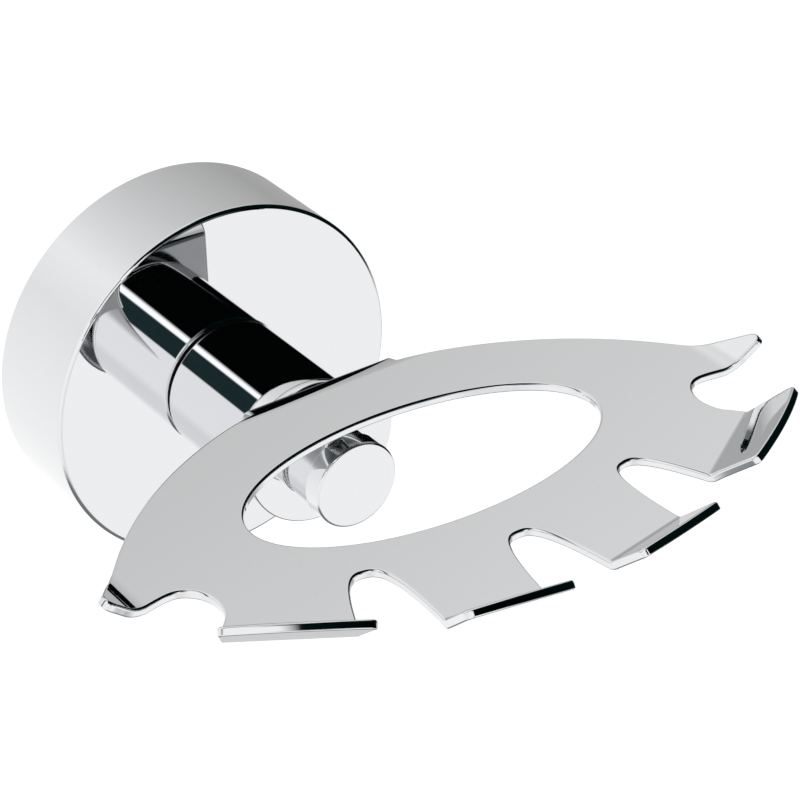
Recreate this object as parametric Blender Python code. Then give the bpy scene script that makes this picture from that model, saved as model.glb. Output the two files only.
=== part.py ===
"""Wall-mounted hair dryer holder: a round rosette, a post, and a notched steel plate clamped to the post by a
knob. Frame: origin on the wall at the centre of the rosette, +Z up, and the object stands out along -Y."""

import math

import bmesh
import bpy
from mathutils import Matrix, Vector

MM = 0.001
SEGMENTS = 72

# Clearances
GAP = 0.1
RADIAL_GAP = 0.12

# Rosette (a turned shell that hides the wall bracket)
ROSETTE_R = 27.5
ROSETTE_FRONT_Y = -17.1
ROSETTE_BACK_Y = -0.3
ROSETTE_CAVITY_R = 24.4
ROSETTE_CAVITY_Y = -13.6
ROSETTE_EDGE_R = 0.5

# Wall bracket (a pressed cup screwed to the wall)
BRACKET_R = 24.0
BRACKET_DISC = 2.0
BRACKET_RIM_Y = -9.5
BRACKET_RIM = 1.5
BRACKET_SLOT_X = 15.0
BRACKET_SLOT_R = 2.3
BRACKET_SLOT_L = 9.0

# Grub screw in the underside of the rosette
GRUB_Y = -6.0
GRUB_R = 2.0
GRUB_TIP_Z = -24.12
GRUB_OUT_Z = -27.1
GRUB_SOCKET_AF = 2.0
GRUB_SOCKET_DEEP = 1.6

# Post
POST_R = 10.0
POST_BORE_R = 8.3
SEAM_R = 9.1
SEAM_L = 0.9
POST_ROOT_GAP = 0.4
POST_TIP_Y = -37.5
PLUG_L = 8.0
FERRULE_Y = -39.8
FERRULE_TIP_R = 7.4
FERRULE_SPIGOT_L = 8.0

# Bolt that holds the post to the rosette
BOLT_R = 4.0
BOLT_AF = 13.0
BOLT_HEAD_L = 5.3
BOLT_WASHER_R = 8.0
BOLT_WASHER_L = 1.6
BOLT_END_Y = -25.0
DOWEL_R = 1.25
DOWEL_X = 6.1
DOWEL_FROM_Y = -14.6
DOWEL_TO_Y = -22.0

# Holder plate: a lens-shaped blank with five notches, an oval hole, six raised tips and a tab bent down
SHEET = 1.2
PLATE_TOP_Z = 12.5
BACK_ARC_R = 58.1
BACK_ARC_Y = -100.2
FRONT_ARC_R = 68.6
FRONT_CROWN = 0.4
FRONT_ARC_Y = -38.0
HOLE_Y = -66.8
HOLE_A = 26.8
HOLE_B = 13.1
NOTCH_SPREAD = 2.04
NOTCH_POWER = 0.36
NOTCH_CLOSING = 0.075
NOTCH_CLOSING_FROM = 12.0
MID_NOTCH_Y = -86.6
OUTER_NOTCH_X = 20.3
OUTER_NOTCH_Y = -82.2
OUTER_NOTCH_TILT = math.radians(13.2)
SIDE_NOTCH_INNER_X = 38.2
SIDE_NOTCH_TOP_Y = -72.0
SIDE_NOTCH_DEEP_Y = -76.2
SIDE_NOTCH_HEEL = (41.2, -82.4)
SIDE_NOTCH_MOUTH = (46.6, -90.6)
HORN_STRAIGHT_X = 44.0
HORN_TIP_X = 52.7
HORN_LOWER_Y = -73.4
TIP_ROUND = 1.1

# Raised tips: angle, bend radius and where each bend starts
LIP_ANGLE = math.radians(42.0)
LIP_BEND_R = 0.9
LIP_ARCS = [(LIP_BEND_R, LIP_ANGLE)]
BEND_FACET = math.radians(10.5)
INNER_LIP_AT = (11.6, -97.0)
INNER_LIP_TURN = math.radians(10.5)
OUTER_LIP_AT = (33.9, -86.6)
OUTER_LIP_TURN = math.radians(32.3)
HORN_LIP_X = 46.3
HORN_BEND_X = 45.4
HORN_ARCS = [(4.0, LIP_ANGLE)]

# Tab: the tongue at the back of the plate, bent down and clamped against the post. The bend starts gently
TAB_HALF = 11.8
TAB_BACK_Y = -40.6
TAB_ARCS = [(8.0, math.radians(20.0)), (2.2, math.radians(70.0))]
TAB_BEND_HALF = 19.0
TAB_ROUND_Z = 2.1
TAB_HOLE_R = 4.0

# Clamp knob
STUD_R = 3.0
STUD_FROM_Y = -31.5
STUD_TO_Y = -48.9
REAR_WASHER_R = 7.2
BUSH_FLANGE_R = 5.8
BUSH_FLANGE_L = 0.6
NECK_R = 6.1
NECK_END_Y = -47.2
KNOB_R = 6.45
KNOB_FRONT_Y = -50.4
KNOB_EDGE_R = 0.35

for old in list(bpy.data.objects):
    bpy.data.objects.remove(old)
parts = bpy.data.collections.new("hair_dryer_holder")
cutters = bpy.data.collections.new("cutters")
bpy.context.scene.collection.children.link(parts)
bpy.context.scene.collection.children.link(cutters)
cutters.hide_render = True


def material(name, colour, metallic, roughness):
    made = bpy.data.materials.new(name)
    made.use_nodes = True
    shader = made.node_tree.nodes["Principled BSDF"]
    shader.inputs["Base Color"].default_value = (*colour, 1.0)
    shader.inputs["Metallic"].default_value = metallic
    shader.inputs["Roughness"].default_value = roughness
    return made


CHROME = ((0.86, 0.87, 0.88), 1.0, 0.06)
STEEL = ((0.62, 0.62, 0.60), 1.0, 0.32)
ZINC = ((0.70, 0.71, 0.72), 1.0, 0.28)
NYLON = ((0.82, 0.82, 0.80), 0.0, 0.45)
FIBRE = ((0.16, 0.16, 0.17), 0.0, 0.7)


def node_from(name, work, look, home=parts, origin=(0.0, 0.0, 0.0)):
    """An object from a bmesh in millimetres, with its origin at the given point."""
    at = Vector(origin)
    for vertex in work.verts:
        vertex.co = (vertex.co - at) * MM
    mesh = bpy.data.meshes.new(name)
    work.to_mesh(mesh)
    work.free()
    made = bpy.data.objects.new(name, mesh)
    made.location = at * MM
    home.objects.link(made)
    if home is cutters:
        made.hide_render = True
        made.display_type = "WIRE"
    else:
        mesh.materials.append(material(name, *look))
    return made


def turned_work(profile, steps=SEGMENTS):
    """A closed (radius, y) profile turned about the Y axis."""
    work = bmesh.new()
    rings = []
    for radius, y in profile:
        if radius < 1e-6:
            rings.append([work.verts.new((0.0, y, 0.0))] * steps)
            continue
        ring = []
        for i in range(steps):
            angle = 2.0 * math.pi * i / steps
            ring.append(work.verts.new((radius * math.cos(angle), y, radius * math.sin(angle))))
        rings.append(ring)
    for first, second in zip(rings, rings[1:] + rings[:1]):
        for i in range(steps):
            j = (i + 1) % steps
            corners = []
            for corner in (first[i], first[j], second[j], second[i]):
                if corner not in corners:
                    corners.append(corner)
            if len(corners) > 2:
                work.faces.new(corners)
    bmesh.ops.recalc_face_normals(work, faces=work.faces)
    return work


def turned(name, profile, look, home=parts, origin=(0.0, 0.0, 0.0), steps=SEGMENTS):
    return node_from(name, turned_work(profile, steps), look, home, origin)


def prism_work(outline, low, high, axis="Y"):
    """A closed outline pushed from low to high along Y or Z. The outline is (x, z) for Y and (x, y) for Z."""
    work = bmesh.new()
    if axis == "Y":
        ends = [[work.verts.new((a, level, b)) for a, b in outline] for level in (low, high)]
    else:
        ends = [[work.verts.new((a, b, level)) for a, b in outline] for level in (low, high)]
    work.faces.new(ends[0])
    work.faces.new(ends[1][::-1])
    count = len(outline)
    for i in range(count):
        j = (i + 1) % count
        work.faces.new((ends[0][i], ends[1][i], ends[1][j], ends[0][j]))
    bmesh.ops.recalc_face_normals(work, faces=work.faces)
    return work


def cut(target, cutter, operation="DIFFERENCE"):
    step = target.modifiers.new(cutter.name, "BOOLEAN")
    step.operation = operation
    step.solver = "EXACT"
    step.object = cutter


def circle_points(radius, centre=(0.0, 0.0), steps=24):
    turn = [2.0 * math.pi * i / steps for i in range(steps)]
    return [(centre[0] + radius * math.cos(a), centre[1] + radius * math.sin(a)) for a in turn]


def hexagon(across_flats):
    return circle_points(across_flats / math.sqrt(3.0), steps=6)


def slot_points(half_length, radius, centre, steps=9):
    found = []
    for side in (1.0, -1.0):
        for i in range(steps + 1):
            angle = side * math.pi / 2.0 - math.pi * i / steps
            x = centre[0] + side * half_length + radius * math.cos(angle)
            found.append((x, centre[1] + radius * math.sin(angle)))
    return found


def edge_round(radius, y, size, towards, steps=4):
    """Profile points of a quarter round on an outer edge; towards is +1 when the body lies on the +Y side."""
    found = []
    for i in range(steps + 1):
        angle = math.pi / 2.0 * i / steps
        found.append((radius - size + size * math.cos(angle), y + towards * size * (1.0 - math.sin(angle))))
    return found


# Wall bracket
bracket = turned(
    "wall_bracket",
    [
        (0.0, 0.0),
        (BRACKET_R, 0.0),
        (BRACKET_R, BRACKET_RIM_Y),
        (BRACKET_R - BRACKET_RIM, BRACKET_RIM_Y),
        (BRACKET_R - BRACKET_RIM, -BRACKET_DISC),
        (0.0, -BRACKET_DISC),
    ],
    ZINC,
)
for side, word in ((-1, "left"), (1, "right")):
    slot = slot_points(BRACKET_SLOT_L / 2.0 - BRACKET_SLOT_R, BRACKET_SLOT_R, (side * BRACKET_SLOT_X, 0.0))
    cut(bracket, node_from("cut_slot_" + word, prism_work(slot, -4.0, 2.0), None, cutters))

# Rosette shell
shell = turned(
    "rosette_shell",
    [(ROSETTE_CAVITY_R, ROSETTE_BACK_Y), (ROSETTE_R, ROSETTE_BACK_Y)]
    + edge_round(ROSETTE_R, ROSETTE_FRONT_Y, ROSETTE_EDGE_R, 1.0)
    + [
        (BOLT_R + RADIAL_GAP, ROSETTE_FRONT_Y),
        (BOLT_R + RADIAL_GAP, ROSETTE_CAVITY_Y),
        (ROSETTE_CAVITY_R, ROSETTE_CAVITY_Y),
    ],
    CHROME,
    steps=96,
)
grub_hole = turned(
    "cut_grub_hole",
    [(0.0, -32.0), (GRUB_R + RADIAL_GAP, -32.0), (GRUB_R + RADIAL_GAP, -22.0), (0.0, -22.0)],
    None,
    cutters,
    steps=24,
)
grub_hole.rotation_euler = (math.pi / 2.0, 0.0, 0.0)
grub_hole.location = Vector((0.0, GRUB_Y, 0.0)) * MM
cut(shell, grub_hole)
dowel_hole = turned(
    "cut_dowel_hole",
    [
        (0.0, DOWEL_TO_Y - 0.4),
        (DOWEL_R + RADIAL_GAP, DOWEL_TO_Y - 0.4),
        (DOWEL_R + RADIAL_GAP, DOWEL_FROM_Y + 0.3),
        (0.0, DOWEL_FROM_Y + 0.3),
    ],
    None,
    cutters,
    steps=16,
)
dowel_hole.location = Vector((DOWEL_X, 0.0, 0.0)) * MM
cut(shell, dowel_hole)

# Grub screw
grub = turned(
    "rosette_grub_screw",
    [(0.0, GRUB_OUT_Z), (GRUB_R, GRUB_OUT_Z), (GRUB_R, GRUB_TIP_Z - 0.6), (GRUB_R - 0.6, GRUB_TIP_Z), (0.0, GRUB_TIP_Z)],
    STEEL,
    steps=24,
)
grub.rotation_euler = (math.pi / 2.0, 0.0, 0.0)
grub.location = Vector((0.0, GRUB_Y, 0.0)) * MM
socket = node_from(
    "cut_grub_socket",
    prism_work(hexagon(GRUB_SOCKET_AF), GRUB_OUT_Z - 1.0, GRUB_OUT_Z + GRUB_SOCKET_DEEP),
    None,
    cutters,
)
socket.rotation_euler = (math.pi / 2.0, 0.0, 0.0)
socket.location = Vector((0.0, GRUB_Y, 0.0)) * MM
cut(grub, socket)

# Post bolt, its washer and the dowel that stops the post turning
washer_back_y = ROSETTE_CAVITY_Y + GAP + BOLT_WASHER_L
turned(
    "post_bolt_washer",
    [
        (BOLT_R + RADIAL_GAP, ROSETTE_CAVITY_Y + GAP),
        (BOLT_WASHER_R, ROSETTE_CAVITY_Y + GAP),
        (BOLT_WASHER_R, washer_back_y),
        (BOLT_R + RADIAL_GAP, washer_back_y),
    ],
    STEEL,
    steps=48,
)
head_y = washer_back_y + GAP
bolt = node_from("post_bolt", prism_work(hexagon(BOLT_AF), head_y, head_y + BOLT_HEAD_L), STEEL)
shank = turned(
    "cut_bolt_shank",
    [(0.0, head_y + 1.0), (BOLT_R, head_y + 1.0), (BOLT_R, BOLT_END_Y + 0.8), (BOLT_R - 0.8, BOLT_END_Y), (0.0, BOLT_END_Y)],
    None,
    cutters,
    steps=36,
)
cut(bolt, shank, "UNION")
dowel = turned(
    "post_dowel",
    [
        (0.0, DOWEL_TO_Y),
        (DOWEL_R - 0.3, DOWEL_TO_Y),
        (DOWEL_R, DOWEL_TO_Y + 0.3),
        (DOWEL_R, DOWEL_FROM_Y - 0.3),
        (DOWEL_R - 0.3, DOWEL_FROM_Y),
        (0.0, DOWEL_FROM_Y),
    ],
    STEEL,
    steps=20,
)
dowel.location = Vector((DOWEL_X, 0.0, 0.0)) * MM

# Seam washer, the post tube that is recessed over it, and the plug in its root
seam_from = ROSETTE_FRONT_Y - GAP
seam_to = seam_from - SEAM_L
seam = turned(
    "post_seam_washer",
    [(BOLT_R + RADIAL_GAP, seam_from), (SEAM_R, seam_from), (SEAM_R, seam_to), (BOLT_R + RADIAL_GAP, seam_to)],
    FIBRE,
)
cut(seam, dowel_hole)
tube_from = seam_to - GAP
tube_root = ROSETTE_FRONT_Y - POST_ROOT_GAP
turned(
    "post_tube",
    [
        (POST_BORE_R, tube_from),
        (SEAM_R + RADIAL_GAP, tube_from),
        (SEAM_R + RADIAL_GAP, tube_root),
        (POST_R, tube_root),
        (POST_R, POST_TIP_Y),
        (POST_BORE_R, POST_TIP_Y),
    ],
    CHROME,
)
plug_r = POST_BORE_R - RADIAL_GAP
plug_to = tube_from - PLUG_L
plug = turned(
    "post_root_plug",
    [
        (BOLT_R + RADIAL_GAP, tube_from),
        (plug_r, tube_from),
        (plug_r, plug_to),
        (BOLT_R + RADIAL_GAP, plug_to),
    ],
    STEEL,
)
cut(plug, dowel_hole)

# Ferrule: closes the tip of the post and holds the thread for the clamp stud
stud_hole_r = STUD_R + RADIAL_GAP
ferrule_from = POST_TIP_Y - GAP
ferrule_rim = []
for i in range(7):
    turn = math.pi / 2.0 * i / 6.0
    ferrule_rim.append(
        (
            FERRULE_TIP_R + (POST_R - FERRULE_TIP_R) * math.cos(turn),
            ferrule_from + (FERRULE_Y - ferrule_from) * math.sin(turn),
        )
    )
turned(
    "post_ferrule",
    [
        (stud_hole_r, POST_TIP_Y + FERRULE_SPIGOT_L),
        (plug_r, POST_TIP_Y + FERRULE_SPIGOT_L),
        (plug_r, ferrule_from),
    ]
    + ferrule_rim
    + [(stud_hole_r, FERRULE_Y)],
    CHROME,
)


def back_y(x):
    """The back edge of the blank: an arc that runs straight into each horn."""
    on_arc = min(x, HORN_STRAIGHT_X)
    drop = math.sqrt(BACK_ARC_R**2 - on_arc * on_arc)
    return BACK_ARC_Y + drop - (x - on_arc) * on_arc / drop


def notch_side(apex, tilt, side, steps=12):
    """One side of a notch, from its apex to the front arc. Its half width grows as a power of the depth, less
    near the mouth, where the raised tips spread a little."""
    along = Vector((math.sin(tilt), -math.cos(tilt)))
    across = Vector((math.cos(tilt), math.sin(tilt))) * side
    start = Vector(apex)

    def point(depth):
        closing = NOTCH_CLOSING * max(depth - NOTCH_CLOSING_FROM, 0.0)
        return start + along * depth + across * (NOTCH_SPREAD * depth**NOTCH_POWER - closing)

    low, high = 1.0, 60.0
    for _ in range(50):
        middle = (low + high) / 2.0
        if (point(middle) - Vector((0.0, FRONT_ARC_Y))).length < FRONT_ARC_R:
            low = middle
        else:
            high = middle
    return [point(low * (i / steps) ** (1.0 / NOTCH_POWER)) for i in range(1, steps + 1)]


def smooth_through(keys, steps=4):
    """A Catmull-Rom curve through the key points."""
    padded = [keys[0] * 2.0 - keys[1], *keys, keys[-1] * 2.0 - keys[-2]]
    found = [keys[0]]
    for a, b, c, d in zip(padded, padded[1:], padded[2:], padded[3:]):
        for i in range(1, steps + 1):
            t = i / steps
            found.append(
                (b * 2.0 + (c - a) * t + (a * 2.0 - b * 5.0 + c * 4.0 - d) * t**2 + (b * 3.0 - a - c * 3.0 + d) * t**3) / 2.0
            )
    return found


def rounded_corner(before, after, size, steps=4):
    """Joins two runs of points that meet at a corner by a short curve. Returns the joined run."""
    corner = before[-1]
    kept_before = [p for p in before if (p - corner).length > size]
    kept_after = [p for p in after if (p - corner).length > size]
    start = corner + (kept_before[-1] - corner).normalized() * size
    end = corner + (kept_after[0] - corner).normalized() * size
    curve = []
    for i in range(steps + 1):
        t = i / steps
        curve.append(start * (1.0 - t) ** 2 + corner * 2.0 * t * (1.0 - t) + end * t * t)
    return kept_before + curve + kept_after


def front_arc(start, end, steps=6):
    """Points of the front arc between two points on it."""
    centre = Vector((0.0, FRONT_ARC_Y))
    first = math.atan2(*(start - centre))
    last = math.atan2(*(end - centre))
    if first < 0.0:
        first += 2.0 * math.pi
    if last < 0.0:
        last += 2.0 * math.pi
    found = []
    for i in range(steps + 1):
        turn = first + (last - first) * i / steps
        crown = FRONT_CROWN * (1.0 - (2.0 * i / steps - 1.0) ** 2)
        found.append(centre + Vector((math.sin(turn), math.cos(turn))) * (FRONT_ARC_R + crown))
    return found


def half_outline():
    """The right half of the flat blank, from the root of the tab round to the apex of the middle notch."""
    root_x = TAB_HALF
    spread = [root_x + (HORN_TIP_X - root_x) * i / 16.0 for i in range(17)]
    back = [Vector((x, back_y(x))) for x in spread]
    horn_tip = back[-1]
    keys = [
        horn_tip,
        Vector((HORN_TIP_X - 0.9, HORN_LOWER_Y - 0.1)),
        Vector((HORN_LIP_X + 3.0, HORN_LOWER_Y + 0.2)),
        Vector((HORN_LIP_X, SIDE_NOTCH_TOP_Y - 0.6)),
        Vector((SIDE_NOTCH_INNER_X + 3.4, SIDE_NOTCH_TOP_Y)),
        Vector((SIDE_NOTCH_INNER_X + 1.0, SIDE_NOTCH_TOP_Y - 1.5)),
        Vector((SIDE_NOTCH_INNER_X, SIDE_NOTCH_DEEP_Y)),
        Vector((SIDE_NOTCH_INNER_X + 0.6, SIDE_NOTCH_DEEP_Y - 3.2)),
        Vector(SIDE_NOTCH_HEEL),
        Vector(SIDE_NOTCH_MOUTH),
    ]
    side_notch = [p for p in smooth_through(keys)]
    front_centre = Vector((0.0, FRONT_ARC_Y))
    while (side_notch[-2] - front_centre).length > FRONT_ARC_R:
        side_notch.pop()
    last_inside, outside = side_notch[-2], side_notch[-1]
    for _ in range(40):
        middle = (last_inside + outside) / 2.0
        if (middle - front_centre).length < FRONT_ARC_R:
            last_inside = middle
        else:
            outside = middle
    side_notch[-1] = outside
    outer = (OUTER_NOTCH_X, OUTER_NOTCH_Y)
    outer_far = notch_side(outer, OUTER_NOTCH_TILT, 1.0)
    outer_near = notch_side(outer, OUTER_NOTCH_TILT, -1.0)
    middle_side = notch_side((0.0, MID_NOTCH_Y), 0.0, 1.0)

    run = rounded_corner(back, side_notch, TIP_ROUND)
    run = rounded_corner(run, front_arc(side_notch[-1], outer_far[-1])[1:], TIP_ROUND)
    run = rounded_corner(run, outer_far[::-1][1:] + [Vector(outer)] + outer_near, TIP_ROUND)
    run = rounded_corner(run, front_arc(outer_near[-1], middle_side[-1])[1:], TIP_ROUND)
    run = rounded_corner(run, middle_side[::-1][1:] + [Vector((0.0, MID_NOTCH_Y))], TIP_ROUND)
    return run


# The tab in the flat: distance past the bend line, before bending
def along_arcs(arcs, away):
    """Where the point ends up that lies away past the start of a run of arcs: outward, sideways and turned by."""
    out, rise, turn = 0.0, 0.0, 0.0
    for radius, angle in arcs:
        step = min(max(away, 0.0) / radius, angle)
        out += radius * (math.sin(turn + step) - math.sin(turn))
        rise += radius * (math.cos(turn) - math.cos(turn + step))
        turn += step
        away -= radius * angle
    straight = max(away, 0.0)
    return out + straight * math.cos(turn), rise + straight * math.sin(turn), turn


tab_arc = sum(radius * angle for radius, angle in TAB_ARCS)
tab_out, tab_drop = along_arcs(TAB_ARCS, tab_arc)[:2]
tab_line_y = TAB_BACK_Y - tab_out
tab_round_y = tab_line_y + tab_arc + (PLATE_TOP_Z - tab_drop - TAB_ROUND_Z)
tab_hole_y = tab_line_y + tab_arc + (PLATE_TOP_Z - tab_drop)


def blank_outline():
    half = half_outline()
    tab = [Vector((TAB_HALF, tab_round_y))]
    for i in range(1, 24):
        turn = math.pi * i / 24.0
        tab.append(Vector((TAB_HALF * math.cos(turn), tab_round_y + TAB_HALF * math.sin(turn))))
    tab.append(Vector((-TAB_HALF, tab_round_y)))
    mirrored = [Vector((-p.x, p.y)) for p in half[:-1]]
    return tab + mirrored + half[::-1]


def ring(work, points):
    corners = [work.verts.new((p[0], p[1], 0.0)) for p in points]
    return [work.edges.new((a, b)) for a, b in zip(corners, corners[1:] + corners[:1])]


def flat_blank():
    """The blank as a solid sheet, its top at zero height."""
    work = bmesh.new()
    edges = ring(work, blank_outline())
    edges += ring(work, [(HOLE_A * math.cos(a), HOLE_Y + HOLE_B * math.sin(a)) for a in turns(72)])
    edges += ring(work, circle_points(TAB_HOLE_R, (0.0, tab_hole_y), 36))
    bmesh.ops.triangle_fill(work, edges=edges, use_beauty=True)
    bmesh.ops.recalc_face_normals(work, faces=work.faces)
    if sum(face.normal.z for face in work.faces) < 0.0:
        bmesh.ops.reverse_faces(work, faces=work.faces)
    grown = bmesh.ops.extrude_face_region(work, geom=work.faces[:])
    moved = [item for item in grown["geom"] if isinstance(item, bmesh.types.BMVert)]
    bmesh.ops.translate(work, verts=moved, vec=(0.0, 0.0, -SHEET))
    bmesh.ops.recalc_face_normals(work, faces=work.faces)
    return work


def turns(steps):
    return [2.0 * math.pi * i / steps for i in range(steps)]


def bend(work, at, outward, arcs, upward, half_width):
    """Bends the sheet along a straight line, by arcs of (radius, angle). Each radius is the top surface's."""
    start = Vector((at[0], at[1], 0.0))
    out = Vector((outward[0], outward[1], 0.0))
    along = Vector((-outward[1], outward[0], 0.0))
    cuts = [0.0]
    for radius, angle in arcs:
        count = max(3, round(angle / BEND_FACET))
        cuts += [cuts[-1] + radius * angle * (i + 1) / count for i in range(count)]

    def inside(co, slack):
        return (co - start).dot(out) > -slack and abs((co - start).dot(along)) < half_width

    for distance in cuts:
        plane = start + out * distance
        near = [f for f in work.faces if any(inside(v.co, 1e-4) for v in f.verts)]
        near_edges = {e for f in near for e in f.edges}
        near_verts = {v for f in near for v in f.verts}
        bmesh.ops.bisect_plane(
            work, geom=[*near, *near_edges, *near_verts], dist=1e-4, plane_co=plane, plane_no=out
        )
    sign = 1.0 if upward else -1.0
    for vertex in work.verts:
        if not inside(vertex.co, 0.0):
            continue
        away = (vertex.co - start).dot(out)
        height = vertex.co.z
        side = vertex.co - out * away
        side.z = 0.0
        new_out, rise, turn = along_arcs(arcs, away)
        new_out -= sign * height * math.sin(turn)
        vertex.co = side + out * new_out + Vector((0.0, 0.0, sign * rise + height * math.cos(turn)))


def holder_plate():
    work = flat_blank()
    bend(work, (0.0, tab_line_y), (0.0, 1.0), TAB_ARCS, False, TAB_BEND_HALF)
    for side in (1.0, -1.0):
        bend(work, (side * HORN_BEND_X, -70.0), (side, 0.0), HORN_ARCS, True, 6.5)
        for at, turn, half in ((INNER_LIP_AT, INNER_LIP_TURN, 9.5), (OUTER_LIP_AT, OUTER_LIP_TURN, 11.5)):
            outward = (side * math.sin(turn), -math.cos(turn))
            bend(work, (side * at[0], at[1]), outward, LIP_ARCS, True, half)
    bmesh.ops.translate(work, verts=work.verts, vec=(0.0, 0.0, PLATE_TOP_Z))
    bmesh.ops.triangulate(work, faces=work.faces[:])
    bmesh.ops.recalc_face_normals(work, faces=work.faces)
    return work


node_from("holder_plate", holder_plate(), CHROME, origin=(0.0, TAB_BACK_Y, 0.0))

# Washer behind the tab and the flanged bush that lines its hole
tab_front_y = TAB_BACK_Y - SHEET
turned(
    "rear_washer",
    [
        (stud_hole_r, FERRULE_Y - GAP),
        (REAR_WASHER_R, FERRULE_Y - GAP),
        (REAR_WASHER_R, TAB_BACK_Y + GAP),
        (stud_hole_r, TAB_BACK_Y + GAP),
    ],
    FIBRE,
    steps=48,
)
bush_r = TAB_HOLE_R - RADIAL_GAP
turned(
    "tab_bush",
    [
        (stud_hole_r, TAB_BACK_Y),
        (bush_r, TAB_BACK_Y),
        (bush_r, tab_front_y - GAP),
        (BUSH_FLANGE_R, tab_front_y - GAP),
        (BUSH_FLANGE_R, tab_front_y - GAP - BUSH_FLANGE_L),
        (stud_hole_r, tab_front_y - GAP - BUSH_FLANGE_L),
    ],
    NYLON,
    steps=48,
)

# Clamp stud, neck sleeve and knob cap
turned(
    "clamp_stud",
    [
        (0.0, STUD_TO_Y),
        (STUD_R - 0.5, STUD_TO_Y),
        (STUD_R, STUD_TO_Y + 0.5),
        (STUD_R, STUD_FROM_Y - 0.6),
        (STUD_R - 0.6, STUD_FROM_Y),
        (0.0, STUD_FROM_Y),
    ],
    STEEL,
    steps=36,
)
neck_from = tab_front_y - BUSH_FLANGE_L - 2.0 * GAP
turned(
    "knob_neck",
    [(stud_hole_r, neck_from), (NECK_R, neck_from), (NECK_R, NECK_END_Y), (stud_hole_r, NECK_END_Y)],
    CHROME,
    steps=64,
)
turned(
    "knob_cap",
    [
        (stud_hole_r, NECK_END_Y - GAP),
        (KNOB_R, NECK_END_Y - GAP),
    ]
    + edge_round(KNOB_R, KNOB_FRONT_Y, KNOB_EDGE_R, 1.0)
    + [(0.0, KNOB_FRONT_Y), (0.0, STUD_TO_Y - 0.2), (stud_hole_r, STUD_TO_Y - 0.2)],
    CHROME,
    steps=64,
)
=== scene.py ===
"""The looks of the hair dryer holder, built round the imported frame. Constants are in millimetres."""

import math

import bmesh
import bpy
from mathutils import Matrix, Vector


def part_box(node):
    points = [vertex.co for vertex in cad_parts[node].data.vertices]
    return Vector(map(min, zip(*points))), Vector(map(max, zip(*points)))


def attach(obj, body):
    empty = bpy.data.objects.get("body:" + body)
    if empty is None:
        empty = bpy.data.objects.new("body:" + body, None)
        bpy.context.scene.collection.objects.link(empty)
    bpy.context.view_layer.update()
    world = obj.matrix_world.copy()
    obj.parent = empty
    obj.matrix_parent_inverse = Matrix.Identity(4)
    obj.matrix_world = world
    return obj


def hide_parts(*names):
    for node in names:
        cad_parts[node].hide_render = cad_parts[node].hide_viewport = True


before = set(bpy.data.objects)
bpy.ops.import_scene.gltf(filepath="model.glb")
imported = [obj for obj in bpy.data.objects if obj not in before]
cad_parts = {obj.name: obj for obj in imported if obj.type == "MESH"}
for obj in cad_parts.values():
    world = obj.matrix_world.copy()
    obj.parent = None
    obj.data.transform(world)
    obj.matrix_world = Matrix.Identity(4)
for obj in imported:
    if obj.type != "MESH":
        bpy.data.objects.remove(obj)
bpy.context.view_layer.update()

MM = 0.001
TURN_STEPS = 256

# Sheet: its thickness, and the rounding of its cut edges above and below
SHEET = 1.2
EDGE = 0.38
EDGE_BELOW = 0.2
EDGE_STEPS = 5

# The plate's flat blank: a lens shape with an oval hole, five notches and a pointed horn at each side
BACK_ARC_R = 58.1
BACK_ARC_Y = -100.2
FRONT_ARC_R = 68.6
FRONT_CROWN = 0.4
FRONT_ARC_Y = -38.0
HOLE_Y = -66.8
HOLE_A = 26.8
HOLE_B = 13.1
NOTCH_SPREAD = 2.04
NOTCH_POWER = 0.36
NOTCH_CLOSING = 0.075
NOTCH_CLOSING_FROM = 12.0
MID_NOTCH_Y = -86.6
OUTER_NOTCH = (20.3, -82.2)
OUTER_NOTCH_TILT = math.radians(13.2)
SIDE_NOTCH_INNER_X = 38.2
SIDE_NOTCH_TOP_Y = -72.0
SIDE_NOTCH_DEEP_Y = -76.2
SIDE_NOTCH_HEEL = (41.2, -82.4)
SIDE_NOTCH_MOUTH = (46.6, -90.6)
HORN_STRAIGHT_X = 44.0
HORN_TIP_X = 52.7
HORN_LOWER_Y = -73.4
HORN_LIP_X = 46.3
TIP_ROUND = 1.1

# Its bends, each a run of (top radius, angle) arcs: the raised tips, the horns and the tab
LIP_ANGLE = math.radians(42.0)
LIP_ARCS = [(0.9, LIP_ANGLE)]
INNER_LIP_AT = (11.6, -97.0)
INNER_LIP_TURN = math.radians(10.5)
INNER_LIP_HALF = 9.5
OUTER_LIP_AT = (33.9, -86.6)
OUTER_LIP_TURN = math.radians(32.3)
OUTER_LIP_HALF = 11.5
HORN_BEND_AT = (45.4, -70.0)
HORN_BEND_HALF = 6.5
HORN_ARCS = [(4.0, LIP_ANGLE)]
BEND_FACET = math.radians(3.5)
TAB_HALF = 11.8
TAB_ARCS = [(8.0, math.radians(20.0)), (2.2, math.radians(70.0))]
TAB_BEND_HALF = 19.0
TAB_ROUND_Z = 2.1
TAB_HOLE_R = 4.0
PLATE_TOP_Z = 12.5

# Rosette, bracket and grub screw
BORE = 4.12
ROSETTE_WALL = 3.1
ROSETTE_FACE = 3.5
ROSETTE_EDGE = 0.62
GRUB_HOLE_Z = (-32.0, -22.0)
BRACKET_WALL = 1.5
BRACKET_DISC = 2.0
SLOT_X = 15.0
SLOT_R = 2.3
SLOT_REACH = 2.2
SOCKET_AF = 2.0
SOCKET_DEEP = 1.6

# Post, clamp and knob. FIT is the gap round a piece that sits in another
FIT = 0.12
STUD_BORE = 3.12
SLEEVE_BORE = 8.3
SLEEVE_PROUD = 0.08
SPIGOT_R = 8.18
NOSE_ROUND = 1.85
BOLT_AF = 13.0
BOLT_CORE_R = 3.4
BOLT_R = 4.0
BUSH_FLANGE = 0.6


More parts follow.
